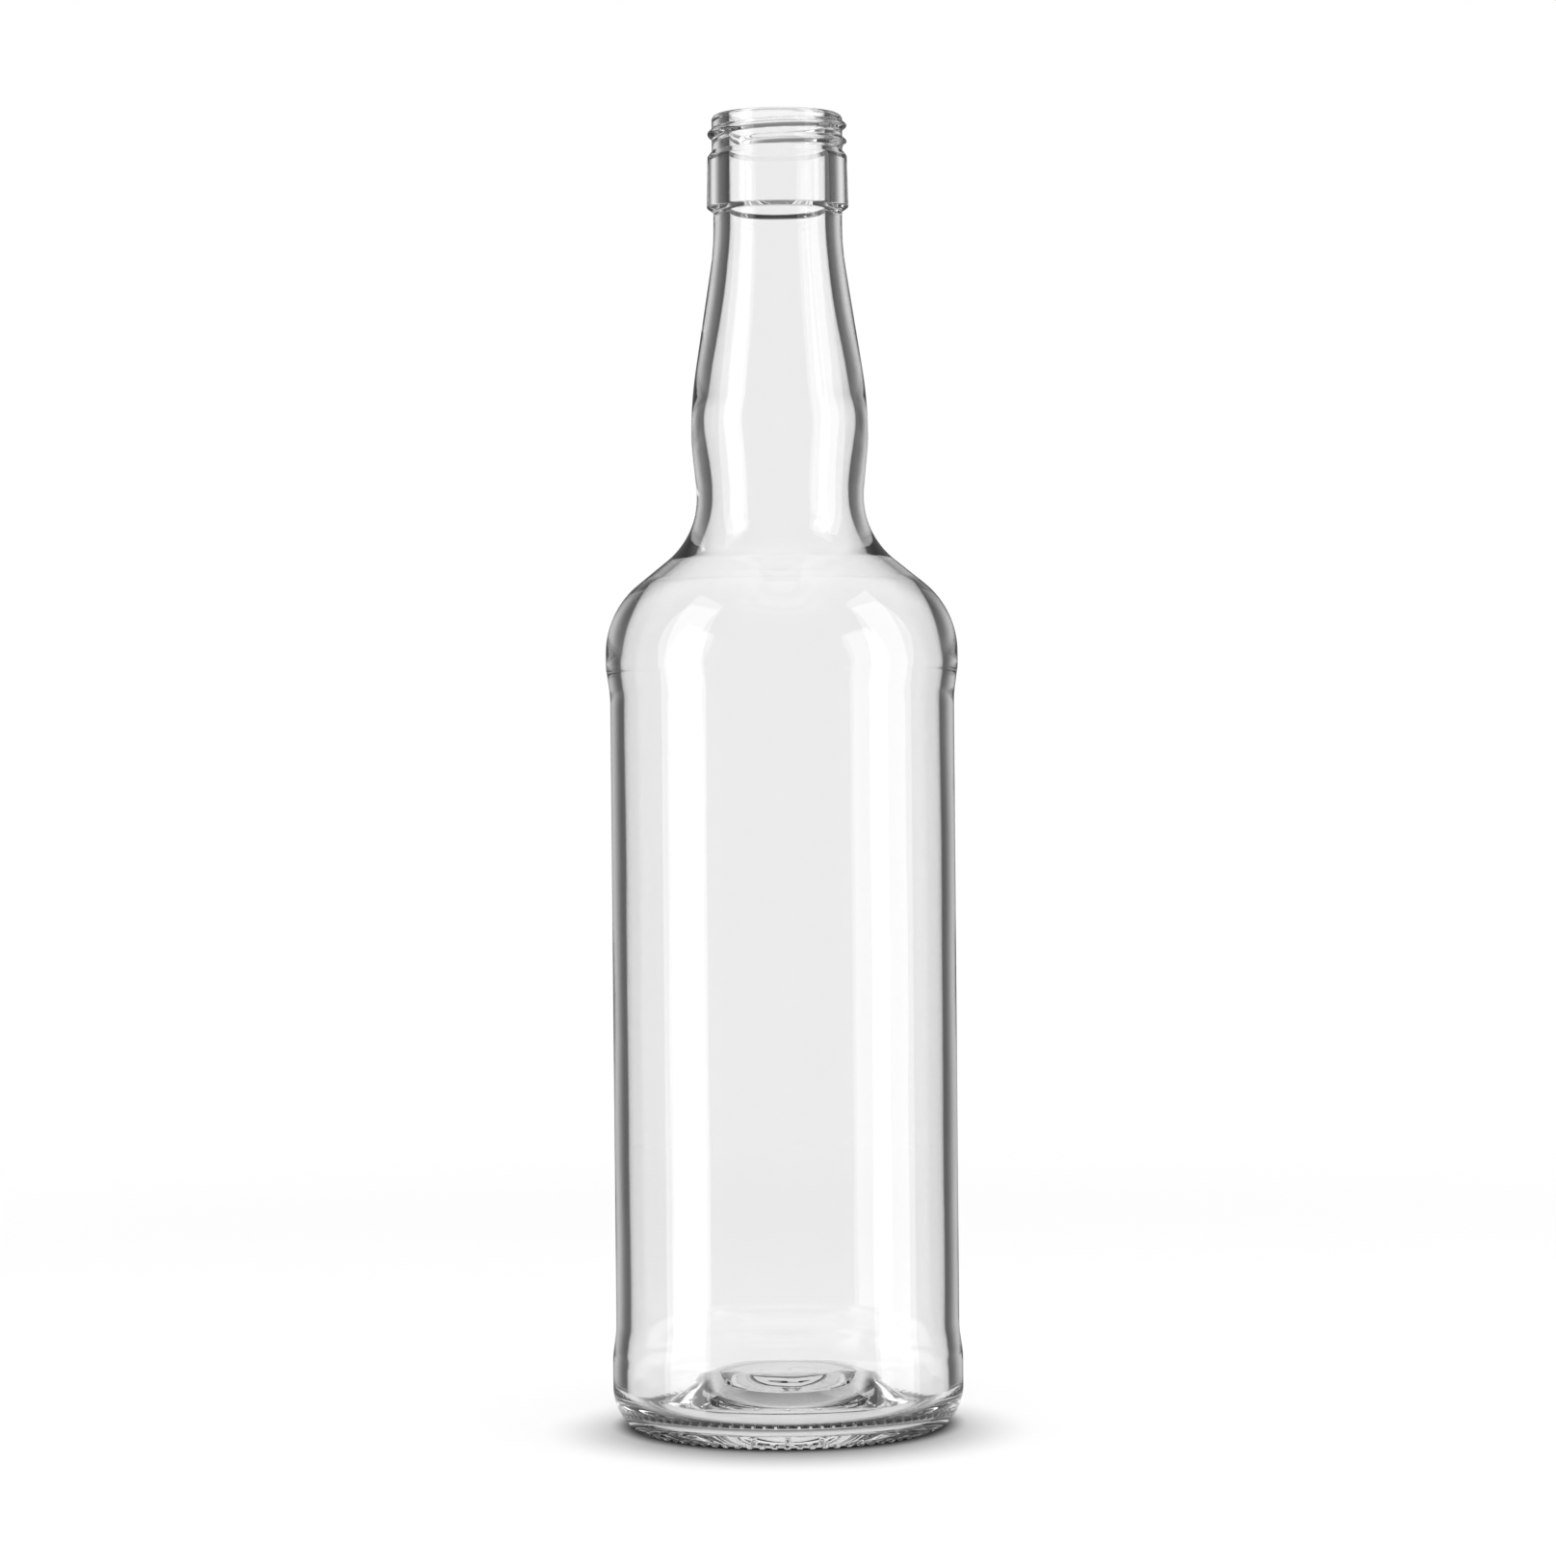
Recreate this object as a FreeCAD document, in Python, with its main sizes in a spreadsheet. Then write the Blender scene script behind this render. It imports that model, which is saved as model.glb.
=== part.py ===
import FreeCAD, Part
import math
import os
import Sketcher
from FreeCAD import Vector

# A clear glass whisky bottle, moulded in one piece. Millimetres, +Z up to the mouth, origin at the
# centre of the ring that the bottle stands on. Everything is turned about +Z: a solid blank first,
# then the push-up under the base and the cavity are cut out of it, and the sharp rims are rounded.
# Below the mouth the finish and neck are measured down from the rim, and the base is measured up
# from the table, so a taller bottle only gets a longer label panel.

SIZES = [
    # overall
    ("height", 286.0, "standing height, up to the sealing rim"),
    ("shoulder_diameter", 76.9, "bead that protects the label from scuffs, at the shoulder"),
    ("base_inset", 0.1, "the same bead above the heel lies this much further in"),
    # finish, which takes the closure
    ("bore_diameter", 20.9, "mouth and bore of the finish"),
    ("land_diameter", 28.5, "wall under the closure's skirt"),
    ("land_length", 7.9, "from the rim down to the collar"),
    ("rim_radius", 1.2, "outer edge of the mouth"),
    ("mouth_radius", 0.8, "inner edge of the mouth"),
    ("collar_step", 0.95, "how far the collar stands out from that wall"),
    ("collar_draft", 0.25, "the collar's lower edge stands out this much more"),
    ("collar_length", 12.3, "from the collar's top to its lower edge"),
    ("collar_bevel", 1.2, "height of the slope at the collar's top"),
    ("collar_undercut", 0.95, "height of the slope under the collar"),
    ("collar_edge_radius", 0.5, "edges of the collar"),
    # neck
    ("neck_inset", 0.2, "how far the neck lies inside the wall under the skirt"),
    ("neck_length", 3.35, "straight part of the neck"),
    ("neck_blend_radius", 56.0, "from the straight neck into the flare"),
    ("flare_angle", 8.9, "slope of the flare, from upright"),
    ("bulge_diameter", 38.6, "widest part of the neck"),
    ("bulge_upper_radius", 91.0, "bulge, above its widest part"),
    ("bulge_lower_radius", 41.0, "bulge, below its widest part"),
    ("taper_angle", 5.8, "slope between bulge and waist"),
    ("waist_inset", 1.07, "how far the waist lies inside the bulge"),
    ("waist_radius", 21.0, "waist, above its narrowest part"),
    # shoulder and label panel
    ("shoulder_root_radius", 17.8, "from the waist into the shoulder"),
    ("shoulder_angle", 51.2, "slope of the shoulder, from upright"),
    ("shoulder_radius", 19.5, "shoulder, rounding over to the side"),
    ("shoulder_bead", 2.0, "straight part of the shoulder bead"),
    ("panel_inset", 0.88, "how far the label panel lies inside the beads"),
    ("step_angle", 8.0, "slope of the step from a bead to the panel"),
    ("step_crest_radius", 13.4, "step, at the bead"),
    ("step_root_radius", 23.4, "step, at the panel"),
    # base
    ("base_bead_top", 14.4, "upper end of the base bead's straight part"),
    ("heel_height", 8.4, "where the heel starts to turn in"),
    ("bearing_inset", 4.15, "from the base bead in to the ring that it stands on"),
    ("bearing_width", 2.6, "width of that ring"),
    ("bearing_radius", 0.8, "edges of that ring"),
    ("push_up_height", 7.4, "hollow under the base, at its middle"),
    ("push_up_disc_diameter", 27.2, "flat disc at the top of that hollow"),
    ("push_up_disc_step", 0.4, "depth of the disc's edge"),
    # cavity
    ("bulge_wall", 2.7, "glass at the bulge"),
    ("waist_wall", 3.2, "glass at the waist"),
    ("body_wall", 3.05, "glass down the body"),
    ("inner_bulge_rise", 2.6, "the bulge is this much higher inside than outside"),
    ("inner_waist_rise", 0.1, "the same for the waist"),
    ("inner_shoulder_drop", 2.0, "the shoulder bead is this much lower inside"),
    ("inner_blend_radius", 128.0, "from the bore into the flare"),
    ("inner_flare_angle", 11.6, "slope of the flare inside"),
    ("inner_bulge_upper_radius", 25.0, "bulge inside, above its widest part"),
    ("inner_bulge_lower_radius", 30.0, "bulge inside, below its widest part"),
    ("inner_waist_radius", 46.0, "waist inside, above its narrowest part"),
    ("inner_shoulder_root_radius", 18.5, "from the waist into the shoulder inside"),
    ("inner_shoulder_radius", 22.5, "shoulder inside, rounding over to the side"),
    ("inner_bead", 0.5, "straight part of the shoulder bead inside"),
    ("inner_step_crest_radius", 16.0, "step inside, at a bead"),
    ("inner_step_root_radius", 20.0, "step inside, at the panel"),
    ("inner_heel_radius", 5.5, "corner between side and floor inside"),
    ("trough_glass", 3.8, "glass under the lowest part of the floor"),
    ("trough_width", 0.5, "flat of the floor at its lowest part"),
    ("centre_glass", 4.9, "glass in the middle of the base"),
    ("kick_angle", 34.0, "slope of the floor's rise, from level"),
    ("kick_root_radius", 4.0, "foot of that rise"),
    ("kick_crest_radius", 12.0, "top of that rise"),
]


def blend(name, across, angle, first, last):
    """Cells for a blend of two arcs: how much its radii shrink to fit, and how far it runs."""
    radii = "(%s + %s)" % (first, last)
    share = "min(1; 0.98 * %s / (%s * (1 - cos(%s))))" % (across, radii, angle)
    run = "%s / tan(%s) + %s * %s_share * tan(%s / 2)" % (across, angle, radii, name, angle)
    return [(name + "_share", share, "share of its radii that fits"), (name + "_run", run, "its height")]


def blend_between(name, run, across, first, last):
    """Cells for a blend whose height is given: the share of its radii, and its angle."""
    wide = "(2 * (%s + %s) * %s_share - %s)" % (first, last, name, across)
    share = "min(1; 0.49 * (%s ^ 2 / %s + %s) / (%s + %s))" % (run, across, across, first, last)
    turn = "2 * atan((%s - sqrt(%s ^ 2 - %s * %s)) / %s) / (1 deg)" % (run, run, across, wide, wide)
    return [(name + "_share", share, "share of its radii that fits"), (name + "_angle", turn, "its slope")]


# what follows from the sizes; the stations inside keep their places beside those outside
DERIVED = [
    ("neck_end", "height - land_length - collar_length - collar_undercut - neck_length", "height"),
    ("neck_across", "abs(bulge_diameter - land_diameter) / 2 + neck_inset", "neck to bulge"),
    *blend("neck", "neck_across", "flare_angle", "neck_blend_radius", "bulge_upper_radius"),
    ("bulge_z", "neck_end - neck_run", "height"),
    *blend("taper", "waist_inset", "taper_angle", "bulge_lower_radius", "waist_radius"),
    ("waist_z", "bulge_z - taper_run", "height"),
    ("shoulder_across", "(shoulder_diameter - bulge_diameter) / 2 + waist_inset", "waist to shoulder"),
    *blend("shoulder", "shoulder_across", "shoulder_angle", "shoulder_root_radius", "shoulder_radius"),
    ("shoulder_z", "waist_z - shoulder_run", "height of the top of its bead"),
    ("inner_bulge_z", "bulge_z + inner_bulge_rise", "height"),
    ("inner_waist_z", "waist_z + inner_waist_rise", "height"),
    ("inner_shoulder_z", "shoulder_z - inner_shoulder_drop", "height of the top of its bead"),
    ("inner_neck_across", "(bulge_diameter - bore_diameter) / 2 - bulge_wall", "bore to bulge"),
    *blend("inner_neck", "inner_neck_across", "inner_flare_angle", "inner_blend_radius",
           "inner_bulge_upper_radius"),
    ("bore_end", "inner_bulge_z + inner_neck_run", "height of the end of the straight bore"),
    ("inner_taper_run", "inner_bulge_z - inner_waist_z", "its height"),
    ("inner_taper_across", "waist_inset + waist_wall - bulge_wall", "bulge to waist"),
    *blend_between("inner_taper", "inner_taper_run", "inner_taper_across", "inner_bulge_lower_radius",
                   "inner_waist_radius"),
    ("inner_shoulder_run", "inner_waist_z - inner_shoulder_z", "its height"),
    ("inner_shoulder_across", "shoulder_across + waist_wall - body_wall", "waist to shoulder"),
    *blend_between("inner_shoulder", "inner_shoulder_run", "inner_shoulder_across",
                   "inner_shoulder_root_radius", "inner_shoulder_radius"),
]


class Size:
    """A value of the document: the expression that binds it and the number that it gives."""

    def __init__(self, text, value):
        self.text = text
        self.value = value

    def __add__(self, other):
        return Size("%s + %s" % (self.text, other.text), self.value + other.value)

    def __sub__(self, other):
        return Size("%s - (%s)" % (self.text, other.text), self.value - other.value)

    def __mul__(self, other):
        return Size("(%s) * (%s)" % (self.text, other.text), self.value * other.value)

    def __truediv__(self, number):
        return Size("(%s) / %g" % (self.text, number), self.value / number)


def make_sheet(document):
    """The driving dimensions as a sheet, and the same values by name for the sketches."""
    sheet = document.addObject("Spreadsheet::Sheet", "Sizes")
    sizes = {}
    for row, (alias, value, note) in enumerate(SIZES, start=1):
        sheet.set("A%d" % row, alias)
        sheet.set("B%d" % row, "%g" % value)
        sheet.setAlias("B%d" % row, alias)
        sheet.set("C%d" % row, note)
        sizes[alias] = Size("Sizes." + alias, value)
    for row, (alias, formula, note) in enumerate(DERIVED, start=len(SIZES) + 2):
        sheet.set("A%d" % row, alias)
        sheet.set("B%d" % row, "=" + formula)
        sheet.setAlias("B%d" % row, alias)
        sheet.set("C%d" % row, note)
    document.recompute()
    for alias, formula, note in DERIVED:
        sizes[alias] = Size("Sizes." + alias, float(sheet.get(alias)))
    return sizes


DOWN, INWARD = Vector(0, -1, 0), Vector(-1, 0, 0)
UP, OUTWARD = Vector(0, 1, 0), Vector(1, 0, 0)
ORIGIN, LEVEL_AXIS, UPRIGHT_AXIS = (-1, 1), -1, -2


def ogee_length(across, angle, radii):
    """How far an arc, a straight at angle and a second arc run while they move across."""
    slope = math.radians(angle.value)
    return across / math.tan(slope) + sum(r.value for r in radii) * math.tan(slope / 2)


def fitted(radii, room):
    """Two radii that share some room, made smaller together where it runs short."""
    both = radii[0] + radii[1]
    text = "min(1; 0.98 * (%s) / (%s))" % (room.text, both.text)
    share = Size(text, min(1, 0.98 * room.value / both.value))
    return [radius * share for radius in radii]


class Section:
    """Half section of a turned shape, drawn from point to point in a sketch that holds the +Z axis.

    Sketch x is the distance from the axis and y is the height. Every dimension is a constraint
    bound to the sheet, and each piece starts at its solved place, so the solver has no choices.
    """

    def __init__(self, body, name, z):
        plane = [o for o in body.Origin.OriginFeatures if o.Role == "XZ_Plane"][0]
        self.sketch = body.newObject("Sketcher::SketchObject", name)
        self.sketch.AttachmentSupport = [(plane, "")]
        self.sketch.MapMode = "FlatFace"
        self.first_z = z
        self.point = Vector(0, z.value, 0)
        self.end = None

    def constrain(self, *arguments):
        return self.sketch.addConstraint(Sketcher.Constraint(*arguments))

    def dimension(self, name, size, *arguments):
        self.sketch.renameConstraint(self.constrain(*arguments), name)
        self.sketch.setExpression("Constraints." + name, size.text)

    def place(self, name, x=None, z=None):
        """Fixes the last end's distance from the axis, its height, or both."""
        if x:
            self.dimension(name + "_x", x, "DistanceX", *ORIGIN, *self.end, x.value)
        if z:
            self.dimension(name + "_z", z, "DistanceY", *ORIGIN, *self.end, z.value)

    def line(self, target, rule=None):
        index = self.sketch.addGeometry(Part.LineSegment(self.point, target))
        if self.end:
            self.constrain("Coincident", *self.end, index, 1)
        else:
            self.end = (index, 1)
            self.constrain("PointOnObject", *self.end, UPRIGHT_AXIS)
            self.place("start", z=self.first_z)
        if rule:
            self.constrain(rule, index)
        self.point = target
        self.end = (index, 2)

    def line_to(self, name, x, z):
        self.line(Vector(x.value, z.value, 0))
        self.place(name, x, z)

    def level_to(self, name, x):
        self.line(Vector(x.value, self.point.y, 0), "Horizontal")
        self.place(name, x=x)

    def upright_to(self, name, z):
        self.line(Vector(self.point.x, z.value, 0), "Vertical")
        self.place(name, z=z)

    def upright_by(self, name, length):
        self.line(self.point + DOWN * length.value, "Vertical")
        self.dimension(name + "_length", length, "Distance", self.end[0], length.value)

    def level_by(self, name, length):
        self.line(self.point + INWARD * length.value, "Horizontal")
        self.dimension(name + "_length", length, "Distance", self.end[0], length.value)

    def upright_until_met(self, height):
        """What follows fixes where this line ends; the height given only starts the solver."""
        self.line(Vector(self.point.x, height, 0), "Vertical")

    def arc(self, centre, target, left):
        """Arc from the last point, turning left or right: its index, first end and last end."""
        ends = [self.point, target] if left else [target, self.point]
        angles = [math.atan2(p.y - centre.y, p.x - centre.x) for p in ends]
        if angles[1] < angles[0]:
            angles[1] += 2 * math.pi
        circle = Part.Circle(centre, Vector(0, 0, 1), centre.distanceToPoint(target))
        index = self.sketch.addGeometry(Part.ArcOfCircle(circle, *angles))
        self.point = target
        return (index, 1, 2) if left else (index, 2, 1)

    def ogee_to(self, name, heading, angle, radii, x=None, z=None):
        """An arc, a straight at an angle to the heading, and an arc back to the heading.

        A path that runs down ends at x, and one that runs inward ends at z. How far it runs on the
        way follows from the angle and the two radii.
        """
        across = x.value - self.point.x if x else z.value - self.point.y
        side = (OUTWARD if x else UP) * math.copysign(1, across)
        left = heading.x * side.y - heading.y * side.x > 0
        square = "Horizontal" if x else "Vertical"
        target = self.point + heading * ogee_length(abs(across), angle, radii) + side * abs(across)
        turn = math.radians(angle.value)
        spoke = heading * math.sin(turn) - side * math.cos(turn)
        centres = [self.point + side * radii[0].value, target - side * radii[1].value]

        first, entry, leave = self.arc(centres[0], centres[0] + spoke * radii[0].value, left)
        self.constrain("Coincident", *self.end, first, entry)
        self.constrain(square, first, 3, first, entry)
        self.dimension(name + "_first_radius", radii[0], "Radius", first, radii[0].value)

        slope_end = centres[1] - spoke * radii[1].value
        slope = self.sketch.addGeometry(Part.LineSegment(self.point, slope_end))
        self.constrain("Tangent", first, leave, slope, 1)
        ahead = Size("-90", -90) if heading == DOWN else Size("180", 180)
        bearing = ahead + angle if left else ahead - angle
        self.dimension(name + "_slope", bearing, "Angle", slope, math.radians(bearing.value))

        self.point = slope_end
        last, entry, leave = self.arc(centres[1], target, not left)
        self.constrain("Tangent", slope, 2, last, entry)
        self.constrain(square, last, 3, last, leave)
        self.dimension(name + "_last_radius", radii[1], "Radius", last, radii[1].value)
        self.end = (last, leave)
        self.place(name, x, z)

    def quarter_to(self, name, radius):
        """Quarter turn from straight down to straight inward."""
        centre = self.point + INWARD * radius.value
        index, entry, leave = self.arc(centre, centre + DOWN * radius.value, False)
        self.constrain("Tangent", *self.end, index, entry)
        self.constrain("Vertical", index, 3, index, leave)
        self.dimension(name + "_radius", radius, "Radius", index, radius.value)
        self.end = (index, leave)

    def heel_to(self, name, x):
        """Arc that starts straight down and meets the table; its radius follows from its ends."""
        inset, drop = self.point.x - x.value, self.point.y
        centre = self.point + INWARD * ((inset ** 2 + drop ** 2) / (2 * inset))
        index, entry, leave = self.arc(centre, Vector(x.value, 0, 0), False)
        self.constrain("Tangent", *self.end, index, entry)
        self.end = (index, leave)
        self.constrain("PointOnObject", *self.end, LEVEL_AXIS)
        self.place(name, x)

    def close(self):
        """Back to the axis on the level, then along the axis to the start."""
        self.line(Vector(0, self.point.y, 0), "Horizontal")
        self.line(Vector(0, self.first_z.value, 0), "Vertical")
        self.constrain("Coincident", *self.end, 0, 1)
        return self.sketch


def turn(body, kind, name, sketch):
    """Revolves a half section once round +Z, adding to the body or cutting from it."""
    feature = body.newObject("PartDesign::" + kind, name)
    feature.Profile = sketch
    feature.ReferenceAxis = (sketch, ["V_Axis"])
    feature.Angle = 360
    body.Document.recompute()
    return feature


def round_rims(body, name, radius, rims):
    """Rounds the body's circular edges that have the given distances from the axis and heights."""
    base = body.Tip
    names = []
    for x, z in rims:
        for number, edge in enumerate(base.Shape.Edges, start=1):
            circle = edge.Curve
            if not isinstance(circle, Part.Circle):
                continue
            if abs(circle.Radius - x.value) < 1e-4 and abs(circle.Center.z - z.value) < 1e-4:
                names.append("Edge%d" % number)
    if len(names) != len(rims):
        raise RuntimeError("%s finds %d of its %d rims" % (name, len(names), len(rims)))
    feature = body.newObject("PartDesign::Fillet", name)
    feature.Base = (base, names)
    feature.setExpression("Radius", radius.text)
    body.Document.recompute()


def base_radius(s):
    return s["shoulder_diameter"] / 2 - s["base_inset"]


def ring_radius(s):
    return base_radius(s) - s["bearing_inset"]


def collar_radii(s):
    """The collar's radius at its top and at its lower edge."""
    top = s["land_diameter"] / 2 + s["collar_step"]
    return top, top + s["collar_draft"]


def outline(body, s):
    """Outside of the bottle, from the rim down to the ring that it stands on, as a solid blank."""
    collar_top = s["height"] - s["land_length"]
    collar_foot = collar_top - s["collar_length"]
    neck_root = collar_foot - s["collar_undercut"]
    bulge = s["bulge_diameter"] / 2
    waist = bulge - s["waist_inset"]
    neck = s["land_diameter"] / 2 - s["neck_inset"]
    collar_crest, collar_edge = collar_radii(s)
    base = base_radius(s)
    panel = s["shoulder_diameter"] / 2 - s["panel_inset"]
    step_radii = (s["step_crest_radius"], s["step_root_radius"])

    path = Section(body, "Outline", s["height"])
    path.level_to("rim", s["land_diameter"] / 2)
    path.upright_to("land", collar_top)
    path.line_to("collar_top", collar_crest, collar_top - s["collar_bevel"])
    path.line_to("collar_foot", collar_edge, collar_foot)
    path.line_to("neck_root", neck, neck_root)
    path.upright_to("neck", neck_root - s["neck_length"])
    bulge_radii = [s["neck_share"] * s[name] for name in ("neck_blend_radius", "bulge_upper_radius")]
    path.ogee_to("bulge", DOWN, s["flare_angle"], bulge_radii, bulge)
    waist_radii = [s["taper_share"] * s[name] for name in ("bulge_lower_radius", "waist_radius")]
    path.ogee_to("waist", DOWN, s["taper_angle"], waist_radii, waist)
    shoulder_radii = [s["shoulder_share"] * s[name] for name in ("shoulder_root_radius", "shoulder_radius")]
    path.ogee_to("shoulder", DOWN, s["shoulder_angle"], shoulder_radii, s["shoulder_diameter"] / 2)
    path.upright_by("bead", s["shoulder_bead"])
    path.ogee_to("panel", DOWN, s["step_angle"], step_radii, panel)
    step = ogee_length(base.value - panel.value, s["step_angle"], step_radii)
    path.upright_until_met(s["base_bead_top"].value + step)
    path.ogee_to("base_bead", DOWN, s["step_angle"], step_radii[::-1], base, s["base_bead_top"])
    path.upright_to("heel", s["heel_height"])
    path.heel_to("bearing", ring_radius(s))
    return path.close()


def push_up(body, s):
    """Hollow under the base: a cone inside the bearing ring, with a flat disc at its top."""
    ring = ring_radius(s) - s["bearing_width"]
    disc = s["push_up_disc_diameter"] / 2
    path = Section(body, "PushUp", s["push_up_height"])
    path.level_to("disc", disc)
    path.upright_by("disc_edge", s["push_up_disc_step"])
    path.line(Vector(ring.value, 0, 0))
    path.constrain("PointOnObject", *path.end, LEVEL_AXIS)
    path.place("ring", ring)
    return path.close()


def cavity(body, s):
    """Inside of the bottle, from the rim down to the domed floor."""
    bulge = s["bulge_diameter"] / 2 - s["bulge_wall"]
    waist = s["bulge_diameter"] / 2 - s["waist_inset"] - s["waist_wall"]
    shoulder = s["shoulder_diameter"] / 2 - s["body_wall"]
    base = base_radius(s) - s["body_wall"]
    step_radii = (s["inner_step_crest_radius"], s["inner_step_root_radius"])
    floor_crown = s["push_up_height"] + s["centre_glass"]

    path = Section(body, "Cavity", s["height"])
    path.level_to("mouth", s["bore_diameter"] / 2)
    path.upright_to("bore", s["bore_end"])
    bulge_radii = [s["inner_neck_share"] * s[name]
                   for name in ("inner_blend_radius", "inner_bulge_upper_radius")]
    path.ogee_to("bulge", DOWN, s["inner_flare_angle"], bulge_radii, bulge)
    waist_radii = [s["inner_taper_share"] * s[name]
                   for name in ("inner_bulge_lower_radius", "inner_waist_radius")]
    path.ogee_to("waist", DOWN, s["inner_taper_angle"], waist_radii, waist)
    shoulder_radii = [s["inner_shoulder_share"] * s[name]
                      for name in ("inner_shoulder_root_radius", "inner_shoulder_radius")]
    path.ogee_to("shoulder", DOWN, s["inner_shoulder_angle"], shoulder_radii, shoulder)
    path.upright_by("bead", s["inner_bead"])
    path.ogee_to("panel", DOWN, s["step_angle"], step_radii, shoulder - s["panel_inset"])
    step = ogee_length(base.value - path.point.x, s["step_angle"], step_radii)
    path.upright_until_met(s["base_bead_top"].value + step)
    path.ogee_to("base_bead", DOWN, s["step_angle"], step_radii[::-1], base, s["base_bead_top"])
    path.upright_to("side", s["trough_glass"] + s["inner_heel_radius"])
    path.quarter_to("corner", s["inner_heel_radius"])
    path.level_by("trough", s["trough_width"])
    kick_radii = (s["kick_root_radius"], s["kick_crest_radius"])
    path.ogee_to("floor_crown", INWARD, s["kick_angle"], kick_radii, z=floor_crown)
    return path.close()


def make_bottle(document, s):
    body = document.addObject("PartDesign::Body", "Bottle")
    body.Label = "bottle"
    turn(body, "Revolution", "Blank", outline(body, s))
    turn(body, "Groove", "PushUpCut", push_up(body, s))
    turn(body, "Groove", "CavityCut", cavity(body, s))

    top = s["height"]
    table = Size("0", 0)
    collar_top = top - s["land_length"]
    collar_crest, collar_edge = collar_radii(s)
    edges = [(collar_crest, collar_top - s["collar_bevel"]), (collar_edge, collar_top - s["collar_length"])]
    wall = (s["land_diameter"] - s["bore_diameter"]) / 2
    rim, mouth = fitted((s["rim_radius"], s["mouth_radius"]), wall)
    round_rims(body, "RimRounding", rim, [(s["land_diameter"] / 2, top)])
    round_rims(body, "MouthRounding", mouth, [(s["bore_diameter"] / 2, top)])
    round_rims(body, "CollarRounding", s["collar_edge_radius"], edges)
    ring = ring_radius(s)
    bearing = [(ring, table), (ring - s["bearing_width"], table)]
    round_rims(body, "BearingRounding", s["bearing_radius"], bearing)
    return body


def check(document, pieces):
    """Stops on any object that failed to compute and on any piece that isn't one closed solid."""
    for item in document.Objects:
        if {"Invalid", "Error"} & set(item.State):
            raise RuntimeError("%s did not compute: %s" % (item.Label, item.State))
        if item.TypeId == "Sketcher::SketchObject" and item.solve() != 0:
            raise RuntimeError("%s is not solved" % item.Label)
    for piece in pieces:
        shape = piece.Shape
        if shape.isNull() or not shape.isValid() or len(shape.Solids) != 1:
            raise RuntimeError("%s is not one valid solid" % piece.Label)


document = FreeCAD.newDocument("WhiskyBottle")
sizes = make_sheet(document)
pieces = [make_bottle(document, sizes)]
document.recompute()
check(document, pieces)
os.makedirs("parts", exist_ok=True)
for piece in pieces:
    piece.Shape.exportStep("parts/%s.step" % piece.Label)
    print(piece.Label, "glass %.1f ml" % (piece.Shape.Volume / 1000))
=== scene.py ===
import math
import bpy
import numpy as np
from mathutils import Matrix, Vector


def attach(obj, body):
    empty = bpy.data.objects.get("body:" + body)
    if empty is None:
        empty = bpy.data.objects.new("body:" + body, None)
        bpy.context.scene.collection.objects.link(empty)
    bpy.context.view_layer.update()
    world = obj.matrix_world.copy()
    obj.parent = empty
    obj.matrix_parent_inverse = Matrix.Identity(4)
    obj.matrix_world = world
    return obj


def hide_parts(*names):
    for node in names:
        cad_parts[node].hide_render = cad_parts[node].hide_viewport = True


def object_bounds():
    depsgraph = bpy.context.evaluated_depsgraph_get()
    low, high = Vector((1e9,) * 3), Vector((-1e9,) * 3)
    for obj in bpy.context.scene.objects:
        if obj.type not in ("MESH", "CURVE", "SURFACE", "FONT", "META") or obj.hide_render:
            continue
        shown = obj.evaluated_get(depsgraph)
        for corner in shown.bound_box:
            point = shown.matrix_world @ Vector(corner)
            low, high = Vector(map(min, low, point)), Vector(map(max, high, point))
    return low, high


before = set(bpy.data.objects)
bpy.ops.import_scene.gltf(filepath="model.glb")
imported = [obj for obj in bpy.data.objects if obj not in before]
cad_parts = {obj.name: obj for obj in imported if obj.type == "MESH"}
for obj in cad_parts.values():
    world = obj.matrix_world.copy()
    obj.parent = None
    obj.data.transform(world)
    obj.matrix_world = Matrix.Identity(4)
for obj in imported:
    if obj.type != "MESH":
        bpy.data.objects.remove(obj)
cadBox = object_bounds()
scene = bpy.context.scene
mm = 0.001
bottleHeight = (cadBox[1].z - cadBox[0].z) / mm
print("frame loaded, bottle", round(bottleHeight, 1), "mm tall")


# the profiles are drawn from the mouth down, in millimetres: each point is a distance from the
# axis, a height and the heading there in degrees (0 outward, 90 up)

def run(path, length, step=4.0):
    radius, height, heading = path[-1]
    count = max(1, math.ceil(length / step))
    turned = math.radians(heading)
    for i in range(1, count + 1):
        along = length * i / count
        path.append((radius + along * math.cos(turned), height + along * math.sin(turned), heading))


def bend(path, rounding, degrees, step=2.0):
    # turns left by degrees, or right where they are negative
    radius, height, heading = path[-1]
    side = math.copysign(1, degrees)
    aside = math.radians(heading + 90 * side)
    centre = (radius + rounding * math.cos(aside), height + rounding * math.sin(aside))
    count = max(2, math.ceil(abs(degrees) / step))
    for i in range(1, count + 1):
        now = heading + degrees * i / count
        spoke = math.radians(now - 90 * side)
        path.append((centre[0] + rounding * math.cos(spoke), centre[1] + rounding * math.sin(spoke), now))


def swerve(path, across, slope, roundings, step=2.0):
    # to a parallel line, across to the left of this one or to the right where it is negative
    side = math.copysign(1, across)
    turned = math.radians(slope)
    straight = (abs(across) - sum(roundings) * (1 - math.cos(turned))) / math.sin(turned)
    bend(path, roundings[0], side * slope, step)
    run(path, straight, 2.0)
    bend(path, roundings[1], -side * slope, step)


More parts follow.
